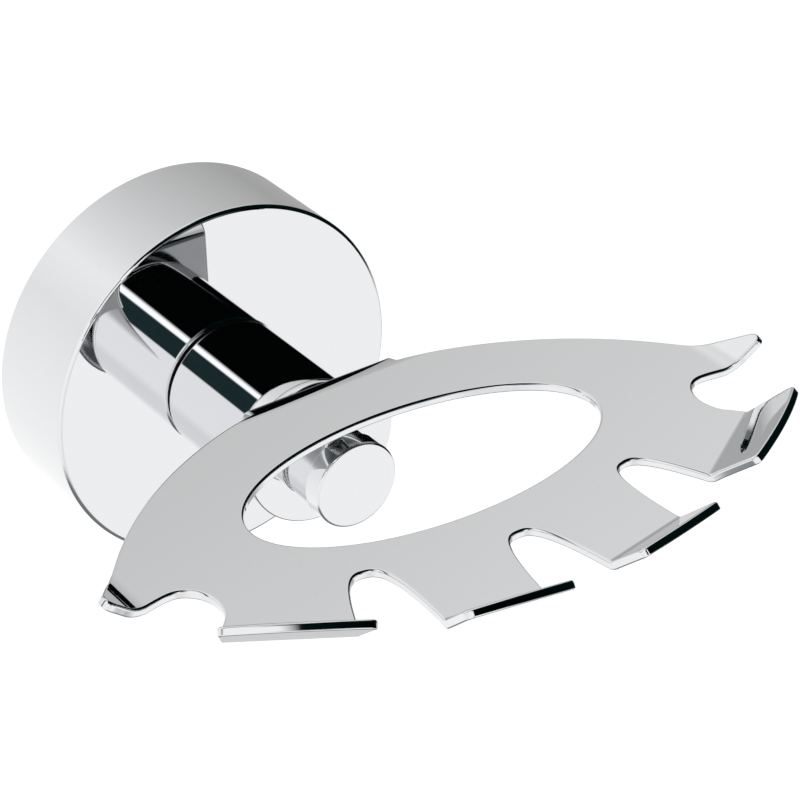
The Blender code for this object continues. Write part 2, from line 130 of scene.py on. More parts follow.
def extent(node):
    """(x half width, lowest y, highest y, lowest z, highest z) of a CAD node, in millimetres."""
    low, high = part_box(node)
    return (high.x - low.x) / 2.0 / MM, low.y / MM, high.y / MM, low.z / MM, high.z / MM


# ---------------------------------------------------------------- materials


class Graph:
    """A short way to write the shader nodes of a new material, or of a world."""

    def __init__(self, name="", world=None):
        self.material = world or bpy.data.materials.new(name)
        self.material.use_nodes = True
        self.tree = self.material.node_tree
        self.shader = self.tree.nodes["Background" if world else "Principled BSDF"]

    def add(self, kind, settings=None, **links):
        made = self.tree.nodes.new(kind)
        for key, value in (settings or {}).items():
            setattr(made, key, value)
        for key, value in links.items():
            socket = made.inputs[int(key[1:])] if key[0] == "i" and key[1:].isdigit() else made.inputs[key]
            self.feed(socket, value)
        return made.outputs[0]

    def feed(self, socket, value):
        if isinstance(value, bpy.types.NodeSocket):
            self.tree.links.new(value, socket)
        else:
            socket.default_value = value

    def coordinates(self, kind):
        return self.tree.nodes.new("ShaderNodeTexCoord").outputs[kind]

    def split(self, vector):
        """The x, y and z of a vector."""
        made = self.tree.nodes.new("ShaderNodeSeparateXYZ")
        self.feed(made.inputs[0], vector)
        return made.outputs

    def position(self, scale=(1.0, 1.0, 1.0)):
        """Object coordinates, stretched by scale (x, y, z)."""
        return self.add("ShaderNodeMapping", Vector=self.coordinates("Object"), Scale=scale)

    def noise(self, where, scale, detail=4.0, rough=0.55):
        return self.add("ShaderNodeTexNoise", Vector=where, Scale=scale, Detail=detail, Roughness=rough)

    def band(self, value, low, high, to_low=0.0, to_high=1.0):
        """Maps value from low..high to to_low..to_high, held at both ends."""
        made = self.tree.nodes.new("ShaderNodeMapRange")
        for index, number in enumerate((value, low, high, to_low, to_high)):
            self.feed(made.inputs[index], number)
        return made.outputs[0]

    def maths(self, operation, a, b=0.0):
        return self.add("ShaderNodeMath", {"operation": operation}, i0=a, i1=b)

    def times(self, a, b):
        return self.maths("MULTIPLY", a, b)

    def mix(self, factor, a, b):
        """Colour a where factor is 0, and b where it is 1."""
        made = self.tree.nodes.new("ShaderNodeMix")
        made.data_type = "RGBA"
        self.feed(made.inputs[0], factor)
        self.feed(made.inputs[6], a)
        self.feed(made.inputs[7], b)
        return made.outputs[2]

    def bump(self, height, strength, distance):
        return self.add("ShaderNodeBump", Height=height, Strength=strength, Distance=distance)

    def set(self, **values):
        for key, value in values.items():
            self.feed(self.shader.inputs[key.replace("_", " ")], value)
        return self.material


def opaque(tint, brightness=1.0):
    return (*[part * brightness for part in tint], 1.0)


def chrome(name, tint, rough, shade_and_dull=None):
    """Polished chrome plate: a faint orange-peel ripple, hairline wiping marks and a trace of darker spots.
    The optional mask function marks where the colour is darkened as painted shade, and the chrome made a
    little rougher."""
    g = Graph(name)
    plain = g.position()
    hair = g.add(
        "ShaderNodeTexWave",
        {"wave_type": "BANDS", "bands_direction": "DIAGONAL"},
        Vector=plain,
        Scale=900.0,
        Distortion=9.0,
        Detail=3.0,
    )
    smear = g.noise(plain, scale=55.0, detail=3.0)
    spots = g.noise(plain, scale=1400.0, detail=2.0)
    peel = g.noise(plain, scale=160.0, detail=2.0)
    worn = g.times(g.band(hair, 0.93, 1.0), g.band(smear, 0.45, 0.75))
    roughness = g.maths("ADD", g.band(smear, 0.3, 0.7, rough, rough + 0.02), g.times(worn, 0.03))
    colour = g.mix(g.band(spots, 0.62, 0.8, 0.0, 0.35), opaque(tint), opaque(tint, 0.93))
    # Painted shade: where the mask is 1 the colour is darkened to 0.42 of the tint, and the roughness raised
    # a little
    if shade_and_dull:
        painted_shade_mask = shade_and_dull(g)
        colour = g.mix(painted_shade_mask, colour, opaque(tint, 0.42))
        roughness = g.maths("ADD", roughness, g.times(painted_shade_mask, 0.1))
    ripple = g.bump(peel, strength=0.04, distance=0.00002)
    return g.set(Base_Color=colour, Metallic=1.0, Roughness=roughness, Normal=ripple)


def painted_shade_behind_tab(g):
    """Where the chrome gets painted shade: the inside of the corner between the plate and its tab, and the
    tab's back.
    """
    facing = g.split(g.coordinates("Normal"))
    place = g.split(g.coordinates("Object"))
    turned_back = g.band(g.maths("SUBTRACT", facing[1], facing[2]), 0.55, 0.8)
    return g.times(turned_back, g.band(place[1], -0.066, -0.052))


def machined_steel(name, tint, rough, grain):
    """Machined steel: fine turning lines along grain, with duller, slightly browner patches."""
    g = Graph(name)
    lines = g.noise(g.position(grain), scale=900.0, detail=5.0, rough=0.6)
    patch = g.noise(g.position(), scale=260.0, detail=4.0)
    browner = (tint[0] * 0.8, tint[1] * 0.76, tint[2] * 0.7, 1.0)
    colour = g.mix(g.band(patch, 0.35, 0.7), opaque(tint), browner)
    duller = g.band(patch, 0.4, 0.7, 0.0, 0.1)
    roughness = g.maths("ADD", g.band(lines, 0.3, 0.7, rough - 0.08, rough + 0.1), duller)
    grooves = g.bump(lines, strength=0.25, distance=0.00004)
    return g.set(Base_Color=colour, Metallic=1.0, Roughness=roughness, Normal=grooves)


def zinc(name):
    """Zinc-plated pressing: a soft mottled crystal pattern and scuffs."""
    g = Graph(name)
    cells = g.add("ShaderNodeTexVoronoi", {"feature": "F1"}, Vector=g.position(), Scale=420.0, Randomness=1.0)
    cloud = g.noise(g.position(), scale=130.0, detail=5.0)
    scuff = g.noise(g.position((1.0, 1.0, 14.0)), scale=300.0, detail=6.0, rough=0.7)
    colour = g.mix(g.band(cloud, 0.3, 0.7), (0.70, 0.72, 0.74, 1.0), (0.52, 0.53, 0.53, 1.0))
    scuffed = g.band(scuff, 0.6, 0.75, 0.0, 0.2)
    roughness = g.maths("ADD", g.band(cells, 0.0, 0.8, 0.26, 0.42), scuffed)
    scratches = g.bump(scuff, strength=0.2, distance=0.00005)
    return g.set(Base_Color=colour, Metallic=1.0, Roughness=roughness, Normal=scratches)


def moulded(name, tint, rough, grain_scale):
    """A dull non-metal: fine grain, a little cloudiness."""
    g = Graph(name)
    grain = g.noise(g.position(), scale=grain_scale, detail=5.0, rough=0.65)
    cloud = g.noise(g.position(), scale=120.0, detail=3.0)
    return g.set(
        Base_Color=g.mix(g.band(cloud, 0.3, 0.7), opaque(tint), opaque(tint, 0.82)),
        Metallic=0.0,
        Roughness=g.band(grain, 0.3, 0.7, rough - 0.06, rough + 0.1),
        Normal=g.bump(grain, strength=0.3, distance=0.00003),
    )


CHROME_TINT = (0.845, 0.85, 0.86)
ROSETTE_CHROME = chrome("rosette_chrome", CHROME_TINT, rough=0.012)
POST_CHROME = chrome("post_chrome", CHROME_TINT, rough=0.012)
# The plate's chrome is darkened with painted shade in the corner behind its tab
PLATE_CHROME = chrome("plate_chrome", CHROME_TINT, rough=0.02, shade_and_dull=painted_shade_behind_tab)
KNOB_CHROME = chrome("knob_chrome", CHROME_TINT, rough=0.015)
TURNED_STEEL = machined_steel("turned_steel", (0.62, 0.62, 0.60), rough=0.3, grain=(1.0, 18.0, 1.0))
PRESSED_ZINC = zinc("pressed_zinc")
SEAM_FIBRE = moulded("seam_fibre", (0.035, 0.035, 0.038), rough=0.6, grain_scale=2600.0)
BUSH_NYLON = moulded("bush_nylon", (0.80, 0.80, 0.77), rough=0.42, grain_scale=1800.0)


# ---------------------------------------------------------------- turned pieces


def linked(name, mesh):
    made = bpy.data.objects.new(name, mesh)
    bpy.context.scene.collection.objects.link(made)
    return made


def from_work(name, work):
    """An object from a bmesh, which is freed."""
    mesh = bpy.data.meshes.new(name)
    work.to_mesh(mesh)
    work.free()
    return linked(name, mesh)


def turns(steps):
    return [2.0 * math.pi * i / steps for i in range(steps)]


def circle_points(radius, centre=(0.0, 0.0), steps=48):
    return [(centre[0] + radius * math.cos(a), centre[1] + radius * math.sin(a)) for a in turns(steps)]


def filleted(points, fillet_steps=10):
    """Straight and round runs of a closed (radius, y, fillet) profile, as
    (start, end, start normal, end normal), each a pair in the (radius, y) plane."""
    corners = [Vector((p[0], p[1])) for p in points]
    sizes = [p[2] if len(p) > 2 else 0.0 for p in points]
    count = len(corners)
    area = sum(a.x * b.y - b.x * a.y for a, b in zip(corners, corners[1:] + corners[:1]))
    if area < 0.0:
        corners.reverse()
        sizes.reverse()
    arcs = []
    for i in range(count):
        here, size = corners[i], sizes[i]
        if size <= 0.0:
            arcs.append([(here, None)])
            continue
        back = (corners[i - 1] - here).normalized()
        ahead = (corners[(i + 1) % count] - here).normalized()
        half = back.angle(ahead) / 2.0
        reach = size / math.tan(half)
        centre = here + (back + ahead).normalized() * size / math.sin(half)
        convex = back.x * ahead.y - back.y * ahead.x < 0.0
        first = here + back * reach - centre
        last = here + ahead * reach - centre
        whole = first.angle_signed(last)
        run = []
        for k in range(fillet_steps + 1):
            spoke = first.copy()
            spoke.rotate(Matrix.Rotation(-whole * k / fillet_steps, 2))
            run.append((centre + spoke, spoke.normalized() * (1.0 if convex else -1.0)))
        arcs.append(run)
    found = []
    for i in range(count):
        run = arcs[i]
        for a, b in zip(run, run[1:]):
            found.append((a[0], b[0], a[1], b[1]))
        start, end = run[-1][0], arcs[(i + 1) % count][0][0]
        along = (end - start).normalized()
        if (end - start).length > 1e-6:
            normal = Vector((along.y, -along.x))
            found.append((start, end, normal, normal))
    return found


def turned(name, points, steps=TURN_STEPS, axis_at=(0.0, 0.0), about="Y"):
    """A closed (radius, y, fillet) profile turned about a line parallel to Y or Z, with exact normals."""
    runs = filleted(points)
    corners, normals, faces = [], [], []
    for start, end, n_start, n_end in runs:
        if start.x < 1e-6 and end.x < 1e-6:
            continue
        for i in range(steps):
            turn_a, turn_b = (2.0 * math.pi * (i + k) / steps for k in (0, 1))
            patch = [
                (start, turn_a, n_start),
                (start, turn_b, n_start),
                (end, turn_b, n_end),
                (end, turn_a, n_end),
            ]
            if start.x < 1e-6:
                patch = patch[1:]
            elif end.x < 1e-6:
                patch = patch[:3]
            face = []
            for place, turn, normal in patch:
                face.append(len(corners))
                cos, sin = math.cos(turn), math.sin(turn)
                if about == "Y":
                    corners.append((axis_at[0] + place.x * cos, place.y, axis_at[1] + place.x * sin))
                    normals.append((normal.x * cos, normal.y, normal.x * sin))
                else:
                    corners.append((axis_at[0] + place.x * sin, axis_at[1] + place.x * cos, place.y))
                    normals.append((normal.x * sin, normal.x * cos, normal.y))
            faces.append(face)
    return piece(name, corners, faces, normals)


def piece(name, corners, faces, normals):
    """A mesh from separate face corners and their normals. Corners at one place become one vertex."""
    places, index, unique = {}, [], []
    for corner in corners:
        key = tuple(round(c, 5) for c in corner)
        if key not in places:
            places[key] = len(unique)
            unique.append(Vector(corner) * MM)
        index.append(places[key])
    mesh = bpy.data.meshes.new(name)
    mesh.from_pydata(unique, [], [[index[c] for c in face] for face in faces])
    mesh.polygons.foreach_set("use_smooth", [True] * len(mesh.polygons))
    mesh.update()
    flat = [normals[c] for face in faces for c in face]
    if mesh.polygons[0].normal.dot(Vector(flat[0])) < 0.0:
        mesh.flip_normals()
        flat = []
        for face in faces:
            kept = [face[0]] + face[:0:-1]
            flat += [normals[c] for c in kept]
    mesh.normals_split_custom_set(flat)
    return linked(name, mesh)


def dress(made, node, body, look):
    """Stands the piece in for a CAD node, in its finish, on its body."""
    made.data.materials.clear()
    made.data.materials.append(look)
    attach(made, body)
    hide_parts(node)
    return made


def cut_by(target, cutter, operation="DIFFERENCE"):
    """Applies a Boolean with the cutter, then removes the cutter."""
    step = target.modifiers.new("cut", "BOOLEAN")
    step.solver = "EXACT"
    step.operation = operation
    step.object = cutter
    graph = bpy.context.evaluated_depsgraph_get()
    result = bpy.data.meshes.new_from_object(target.evaluated_get(graph))
    old = target.data
    target.modifiers.clear()
    target.data = result
    bpy.data.meshes.remove(old)
    bpy.data.objects.remove(cutter)
    return target


def soften(target, degrees=35.0):
    """Smooth shading broken at edges sharper than degrees."""
    mesh = target.data
    if "custom_normal" in mesh.attributes:
        mesh.attributes.remove(mesh.attributes["custom_normal"])
    work = bmesh.new()
    work.from_mesh(mesh)
    bmesh.ops.remove_doubles(work, verts=work.verts, dist=1e-7)
    for face in work.faces:
        face.smooth = True
    for edge in work.edges:
        edge.smooth = len(edge.link_faces) == 2 and edge.calc_face_angle(0.0) < math.radians(degrees)
    work.to_mesh(mesh)
    work.free()
    return target


def prism(name, outline, low, high, axis="Y"):
    """A closed outline pushed from low to high along an axis. It is (x, z) for Y and (x, y) for Z."""
    work = bmesh.new()
    ends = []
    for level in (low, high):
        row = []
        for a, b in outline:
            place = Vector((a, level, b)) if axis == "Y" else Vector((a, b, level))
            row.append(work.verts.new(place * MM))
        ends.append(row)
    work.faces.new(ends[0])
    work.faces.new(ends[1][::-1])
    count = len(outline)
    for i in range(count):
        j = (i + 1) % count
        work.faces.new((ends[0][i], ends[1][i], ends[1][j], ends[0][j]))
    bmesh.ops.recalc_face_normals(work, faces=work.faces)
    return from_work(name, work)


# ---------------------------------------------------------------- the plate


def back_y(x):
    """The back edge: an arc that runs on as a straight line past HORN_STRAIGHT_X."""
    on_arc = min(x, HORN_STRAIGHT_X)
    drop = math.sqrt(BACK_ARC_R**2 - on_arc * on_arc)
    return BACK_ARC_Y + drop - (x - on_arc) * on_arc / drop


def notch_side(apex, tilt, side, steps=44):
    """One side of a notch, from its apex down to the front arc."""
    along = Vector((math.sin(tilt), -math.cos(tilt)))
    across = Vector((math.cos(tilt), math.sin(tilt))) * side
    start, front_centre = Vector(apex), Vector((0.0, FRONT_ARC_Y))

    def point(depth):
        closing = NOTCH_CLOSING * max(depth - NOTCH_CLOSING_FROM, 0.0)
        return start + along * depth + across * (NOTCH_SPREAD * depth**NOTCH_POWER - closing)

    low, high = 1.0, 60.0
    for _ in range(50):
        middle = (low + high) / 2.0
        if (point(middle) - front_centre).length < FRONT_ARC_R:
            low = middle
        else:
            high = middle
    return [point(low * (i / steps) ** (1.0 / NOTCH_POWER)) for i in range(1, steps + 1)]


def smooth_through(keys, steps=14):
    """A Catmull-Rom curve through the key points."""
    padded = [keys[0] * 2.0 - keys[1], *keys, keys[-1] * 2.0 - keys[-2]]
    found = [keys[0]]
    for a, b, c, d in zip(padded, padded[1:], padded[2:], padded[3:]):
        for i in range(1, steps + 1):
            t = i / steps
            square, cube = t * t, t * t * t
            bend_2 = a * 2.0 - b * 5.0 + c * 4.0 - d
            bend_3 = b * 3.0 - a - c * 3.0 + d
            found.append((b * 2.0 + (c - a) * t + bend_2 * square + bend_3 * cube) / 2.0)
    return found


def rounded_corner(before, after, size, steps=14):
    """Joins two runs that share a corner, easing from one into the other within size of it."""
    corner = before[-1]
    kept_before = [p for p in before if (p - corner).length > size]
    kept_after = [p for p in after if (p - corner).length > size]
    start = corner + (kept_before[-1] - corner).normalized() * size
    end = corner + (kept_after[0] - corner).normalized() * size
    curve = []
    for i in range(steps + 1):
        t = i / steps
        curve.append(start * (1.0 - t) ** 2 + corner * 2.0 * t * (1.0 - t) + end * t * t)
    return kept_before + curve + kept_after


def front_arc(start, end, steps=24):
    """The front edge of a tip, between its corners on the front arc, crowned a little past it."""
    centre = Vector((0.0, FRONT_ARC_Y))
    first = math.atan2(*(start - centre)) % (2.0 * math.pi)
    last = math.atan2(*(end - centre)) % (2.0 * math.pi)
    found = []
    for i in range(steps + 1):
        turn = first + (last - first) * i / steps
        crown = FRONT_CROWN * (1.0 - (2.0 * i / steps - 1.0) ** 2)
        found.append(centre + Vector((math.sin(turn), math.cos(turn))) * (FRONT_ARC_R + crown))
    return found


def half_outline():
    """The right half of the flat blank, from the root of the tab round to the apex of the middle notch."""
    back_steps = 90
    spread = [TAB_HALF + (HORN_TIP_X - TAB_HALF) * i / back_steps for i in range(back_steps + 1)]
    back = [Vector((x, back_y(x))) for x in spread]
    side_notch_keys = [
        back[-1],
        Vector((HORN_TIP_X - 0.9, HORN_LOWER_Y - 0.1)),
        Vector((HORN_LIP_X + 3.0, HORN_LOWER_Y + 0.2)),
        Vector((HORN_LIP_X, SIDE_NOTCH_TOP_Y - 0.6)),
        Vector((SIDE_NOTCH_INNER_X + 3.4, SIDE_NOTCH_TOP_Y)),
        Vector((SIDE_NOTCH_INNER_X + 1.0, SIDE_NOTCH_TOP_Y - 1.5)),
        Vector((SIDE_NOTCH_INNER_X, SIDE_NOTCH_DEEP_Y)),
        Vector((SIDE_NOTCH_INNER_X + 0.6, SIDE_NOTCH_DEEP_Y - 3.2)),
        Vector(SIDE_NOTCH_HEEL),
        Vector(SIDE_NOTCH_MOUTH),
    ]
    side_notch = smooth_through(side_notch_keys)
    front_centre = Vector((0.0, FRONT_ARC_Y))
    while (side_notch[-2] - front_centre).length > FRONT_ARC_R:
        side_notch.pop()
    last_inside, outside = side_notch[-2], side_notch[-1]
    for _ in range(40):
        middle = (last_inside + outside) / 2.0
        if (middle - front_centre).length < FRONT_ARC_R:
            last_inside = middle
        else:
            outside = middle
    side_notch[-1] = outside
    outer_far = notch_side(OUTER_NOTCH, OUTER_NOTCH_TILT, 1.0)
    outer_near = notch_side(OUTER_NOTCH, OUTER_NOTCH_TILT, -1.0)
    apex = Vector((0.0, MID_NOTCH_Y))
    middle_side = notch_side(apex, 0.0, 1.0)
    run = rounded_corner(back, side_notch, TIP_ROUND)
    run = rounded_corner(run, front_arc(side_notch[-1], outer_far[-1])[1:], TIP_ROUND)
    run = rounded_corner(run, outer_far[::-1][1:] + [Vector(OUTER_NOTCH)] + outer_near, TIP_ROUND)
    run = rounded_corner(run, front_arc(outer_near[-1], middle_side[-1])[1:], TIP_ROUND)
    return rounded_corner(run, middle_side[::-1][1:] + [apex], TIP_ROUND)


def along_arcs(arcs, away):
    """Where a point ends up that lay away past the start of a run of arcs, as (outward, sideways, turn)."""
    out, rise, turn = 0.0, 0.0, 0.0
    for radius, angle in arcs:
        step = min(max(away, 0.0) / radius, angle)
        out += radius * (math.sin(turn + step) - math.sin(turn))
        rise += radius * (math.cos(turn) - math.cos(turn + step))
        turn += step
        away -= radius * angle
    straight = max(away, 0.0)
    return out + straight * math.cos(turn), rise + straight * math.sin(turn), turn


TAB_BACK_Y = extent("holder_plate")[2]
TAB_ARC = sum(radius * angle for radius, angle in TAB_ARCS)
TAB_OUT, TAB_DROP = along_arcs(TAB_ARCS, TAB_ARC)[:2]
TAB_LINE_Y = TAB_BACK_Y - TAB_OUT
TAB_ROUND_Y = TAB_LINE_Y + TAB_ARC + (PLATE_TOP_Z - TAB_DROP - TAB_ROUND_Z)
TAB_HOLE_Y = TAB_LINE_Y + TAB_ARC + (PLATE_TOP_Z - TAB_DROP)


def blank_outline(tab_steps=96):
    """The whole flat blank, with the round end of its tab."""
    half = half_outline()
    tab = [Vector((TAB_HALF, TAB_ROUND_Y))]
    for i in range(1, tab_steps):
        turn = math.pi * i / tab_steps
        tab.append(Vector((TAB_HALF * math.cos(turn), TAB_ROUND_Y + TAB_HALF * math.sin(turn))))
    tab.append(Vector((-TAB_HALF, TAB_ROUND_Y)))
    mirrored = [Vector((-p.x, p.y)) for p in half[:-1]]
    return tab + mirrored + half[::-1]


def offset_loop(points, distance):
    """The loop moved towards its left side by distance, with the outward normal of each point."""
    moved, normals = [], []
    count = len(points)
    for i, here in enumerate(points):
        before = (here - points[i - 1]).normalized()
        after = (points[(i + 1) % count] - here).normalized()
        middle = (before + after).normalized()
        left = Vector((-middle.y, middle.x))
        moved.append(here + left * distance / max(middle.dot(after), 0.5))
        normals.append(-left)
    return moved, normals


def clean_loop(points, least=0.02):
    """The loop without the points that crowd the one before them."""
    kept = []
    for point in points:
        if not kept or (point - kept[-1]).length > least:
            kept.append(point)
    if (kept[0] - kept[-1]).length <= least:
        kept.pop()
    return kept


def sheet_blank():
    """The flat blank with its cut edges rounded, and the normal of every vertex kept in a layer."""
    work = bmesh.new()
    layer = work.verts.layers.float_vector.new("facing")
    loops = [clean_loop(blank_outline())]
    hole = [(HOLE_A * math.cos(a), HOLE_Y + HOLE_B * math.sin(a)) for a in turns(320)]
    loops.append([Vector(p) for p in hole][::-1])
    loops.append([Vector(p) for p in circle_points(TAB_HOLE_R, (0.0, TAB_HOLE_Y), 96)][::-1])
    # Each level of the edge: (inset, height, how far its normal faces out, how far it faces up)
    levels = []
    for k in range(EDGE_STEPS + 1):
        turn = math.pi / 2.0 * k / EDGE_STEPS
        flat, up = math.sin(turn), math.cos(turn)
        levels.append((EDGE * (1.0 - flat), -EDGE * (1.0 - up), flat, up))
    below = EDGE_BELOW / EDGE
    for inset, height, flat, up in reversed(levels[:]):
        levels.append((inset * below, -SHEET - height * below, flat, -up))
    top_edges, bottom_edges = [], []
    for loop in loops:
        rows = []
        for inset, height, flat, up in levels:
            moved, normals = offset_loop(loop, inset)
            row = []
            for place, normal in zip(moved, normals):
                vertex = work.verts.new((place.x, place.y, height))
                vertex[layer] = (normal.x * flat, normal.y * flat, up)
                row.append(vertex)
            rows.append(row)
        for upper, lower in zip(rows, rows[1:]):
            for i in range(len(upper)):
                j = (i + 1) % len(upper)
                work.faces.new((upper[i], lower[i], lower[j], upper[j]))
        top_edges += [work.edges.get((a, b)) for a, b in zip(rows[0], rows[0][1:] + rows[0][:1])]
        bottom_edges += [work.edges.get((a, b)) for a, b in zip(rows[-1], rows[-1][1:] + rows[-1][:1])]
    bmesh.ops.triangle_fill(work, edges=top_edges, use_beauty=True)
    bmesh.ops.triangle_fill(work, edges=bottom_edges, use_beauty=True)
    bmesh.ops.recalc_face_normals(work, faces=work.faces)
    return work, layer


def bend(work, layer, at, outward, arcs, upward, half_width):
    """Bends the sheet along a straight line, and turns the kept normals with it."""
    start = Vector((at[0], at[1], 0.0))
    out = Vector((outward[0], outward[1], 0.0))
    along = Vector((-outward[1], outward[0], 0.0))
    cuts = [0.0]
    for radius, angle in arcs:
        count = round(angle / BEND_FACET)
        cuts += [cuts[-1] + radius * angle * (i + 1) / count for i in range(count)]

    def inside(co, slack):
        return (co - start).dot(out) > -slack and abs((co - start).dot(along)) < half_width

    for distance in cuts:
        plane = start + out * distance
        near = [f for f in work.faces if any(inside(v.co, 1e-4) for v in f.verts)]
        near_edges = {e for f in near for e in f.edges}
        near_verts = {v for f in near for v in f.verts}
        bmesh.ops.bisect_plane(
            work, geom=[*near, *near_edges, *near_verts], dist=1e-5, plane_co=plane, plane_no=out
        )
    sign = 1.0 if upward else -1.0
    for vertex in work.verts:
        if not inside(vertex.co, 0.0):
            continue
        away = (vertex.co - start).dot(out)
        height = vertex.co.z
        side = vertex.co - out * away
        side.z = 0.0
        new_out, rise, turn = along_arcs(arcs, away)
        new_out -= sign * height * math.sin(turn)
        vertex.co = side + out * new_out + Vector((0.0, 0.0, sign * rise + height * math.cos(turn)))
        facing = Vector(vertex[layer])
        forward, up = facing.dot(out), facing.z
        level = facing - out * forward
        level.z = 0.0
        cos, sin = math.cos(turn), sign * math.sin(turn)
        raised = Vector((0.0, 0.0, forward * sin + up * cos))
        vertex[layer] = level + out * (forward * cos - up * sin) + raised


def notched_plate(name):
    """The bent sheet, with its kept normals as the mesh's own."""
    work, layer = sheet_blank()
    bend(work, layer, (0.0, TAB_LINE_Y), (0.0, 1.0), TAB_ARCS, False, TAB_BEND_HALF)
    lips = [
        (INNER_LIP_AT, INNER_LIP_TURN, INNER_LIP_HALF),
        (OUTER_LIP_AT, OUTER_LIP_TURN, OUTER_LIP_HALF),
    ]
    for side in (1.0, -1.0):
        horn_at = (side * HORN_BEND_AT[0], HORN_BEND_AT[1])
        bend(work, layer, horn_at, (side, 0.0), HORN_ARCS, True, HORN_BEND_HALF)
        for at, turn, half in lips:
            outward = (side * math.sin(turn), -math.cos(turn))
            bend(work, layer, (side * at[0], at[1]), outward, LIP_ARCS, True, half)
    bmesh.ops.translate(work, verts=work.verts, vec=(0.0, 0.0, PLATE_TOP_Z))
    bmesh.ops.triangulate(work, faces=work.faces[:])
    bmesh.ops.recalc_face_normals(work, faces=work.faces)
    facings = [Vector(v[layer]).normalized() for v in work.verts]
    for vertex in work.verts:
        vertex.co = vertex.co * MM
    for face in work.faces:
        face.smooth = True
    work.verts.layers.float_vector.remove(layer)
    made = from_work(name, work)
    made.data.normals_split_custom_set_from_vertices(facings)
    return made


# ---------------------------------------------------------------- rosette and bracket

rosette_r, rosette_front, rosette_back = extent("rosette_shell")[:3]
shell = turned(
    "rosette_cover",
    [
        (rosette_r - ROSETTE_WALL, rosette_back, 0.2),
        (rosette_r, rosette_back, 0.25),
        (rosette_r, rosette_front, ROSETTE_EDGE),
        (BORE, rosette_front, 0.1),
        (BORE, rosette_front + ROSETTE_FACE, 0.1),
        (rosette_r - ROSETTE_WALL, rosette_front + ROSETTE_FACE, 1.2),
    ],
)
grub_r, grub_y_low, grub_y_high, grub_low, grub_high = extent("rosette_grub_screw")
grub_y = (grub_y_low + grub_y_high) / 2.0
hole_r, (hole_low, hole_high) = grub_r + FIT, GRUB_HOLE_Z
hole_profile = [(0.0, hole_low), (hole_r, hole_low), (hole_r, hole_high), (0.0, hole_high)]
cut_by(shell, turned("hole", hole_profile, 64, (0.0, grub_y), "Z"))


def face_the_shell(target):
    """Exact normals for the bored shell: each corner takes the true surface nearest its face."""
    rim_r, rim_y = rosette_r - ROSETTE_EDGE, rosette_front + ROSETTE_EDGE
    slack, near_enough = 0.01, 0.998
    mesh = target.data
    facings = []
    for face in mesh.polygons:
        across = face.normal
        for index in face.vertices:
            place = mesh.vertices[index].co / MM
            round_y = Vector((place.x, 0.0, place.z)).normalized()
            fillet_centre = round_y * rim_r + Vector((0.0, rim_y, 0.0))
            bore = Vector((place.x, place.y - grub_y, 0.0)).normalized()
            choices = [Vector((0.0, -1.0, 0.0)), Vector((0.0, 1.0, 0.0)), round_y, -round_y, -bore]
            if place.y < rim_y + slack and round_y.dot(place) > rim_r - slack:
                choices.append((place - fillet_centre).normalized())
            best = max(choices, key=across.dot)
            facings.append(best if across.dot(best) > near_enough else across.copy())
    mesh.polygons.foreach_set("use_smooth", [True] * len(mesh.polygons))
    mesh.normals_split_custom_set(facings)


face_the_shell(shell)
dress(shell, "rosette_shell", "wall_mount", ROSETTE_CHROME)

bracket_r, bracket_rim, bracket_back = extent("wall_bracket")[:3]
bracket = turned(
    "bracket_cup",
    [
        (0.0, bracket_back),
        (bracket_r, bracket_back, 1.2),
        (bracket_r, bracket_rim, 0.3),
        (bracket_r - BRACKET_WALL, bracket_rim, 0.3),
        (bracket_r - BRACKET_WALL, bracket_back - BRACKET_DISC, 0.8),
        (0.0, bracket_back - BRACKET_DISC),
    ],
    144,
)


def slot_outline(middle_x, steps=24):
    """A slot with round ends, lengthwise along X."""
    outline = []
    for end in (1.0, -1.0):
        for i in range(steps + 1):
            turn = end * math.pi / 2.0 - math.pi * i / steps
            end_x = middle_x + end * SLOT_REACH
            outline.append((end_x + SLOT_R * math.cos(turn), SLOT_R * math.sin(turn)))
    return outline


for side in (-1.0, 1.0):
    cut_by(bracket, prism("slot", slot_outline(side * SLOT_X), -4.0, 2.0))
dress(soften(bracket, 30.0), "wall_bracket", "wall_mount", PRESSED_ZINC)

grub_point = 0.6
grub = turned(
    "grub_screw",
    [
        (0.0, grub_low),
        (grub_r, grub_low, 0.15),
        (grub_r, grub_high - grub_point),
        (grub_r - grub_point, grub_high, 0.1),
        (0.0, grub_high),
    ],
    64,
    (0.0, grub_y),
    "Z",
)
hexagon = circle_points(SOCKET_AF / math.sqrt(3.0), (0.0, grub_y), 6)
cut_by(grub, prism("socket", hexagon, grub_low - 1.0, grub_low + SOCKET_DEEP, "Z"))
dress(soften(grub), "rosette_grub_screw", "grub_screw", TURNED_STEEL)

# ---------------------------------------------------------------- post


def ring(name, node, inner, fillet, look, body="wall_mount", longer=0.0):
    """A plain ring that fills a CAD node's box, made longer towards the room if asked."""
    radius, low, high = extent(node)[:3]
    low -= longer
    corners = [(inner, low), (radius, low), (radius, high), (inner, high)]
    return dress(turned(name, [(*corner, fillet) for corner in corners]), node, body, look)


ring("bolt_washer", "post_bolt_washer", BORE, 0.2, TURNED_STEEL)
ring("seam_ring", "post_seam_washer", BORE, 0.05, SEAM_FIBRE)
post_r, post_tip, post_root = extent("post_tube")[:3]
seam_r, seam_front = extent("post_seam_washer")[:2]
recess_r, recess_y = seam_r + FIT, seam_front - 0.1
sleeve = turned(
    "post_sleeve",
    [
        (SLEEVE_BORE, post_tip - SLEEVE_PROUD, 0.12),
        (post_r, post_tip - SLEEVE_PROUD, 0.12),
        (post_r, post_root, 0.45),
        (recess_r, post_root, 0.1),
        (recess_r, recess_y, 0.05),
        (SLEEVE_BORE, recess_y, 0.1),
    ],
)
dress(sleeve, "post_tube", "wall_mount", POST_CHROME)
ring("root_plug", "post_root_plug", BORE, 0.15, TURNED_STEEL)

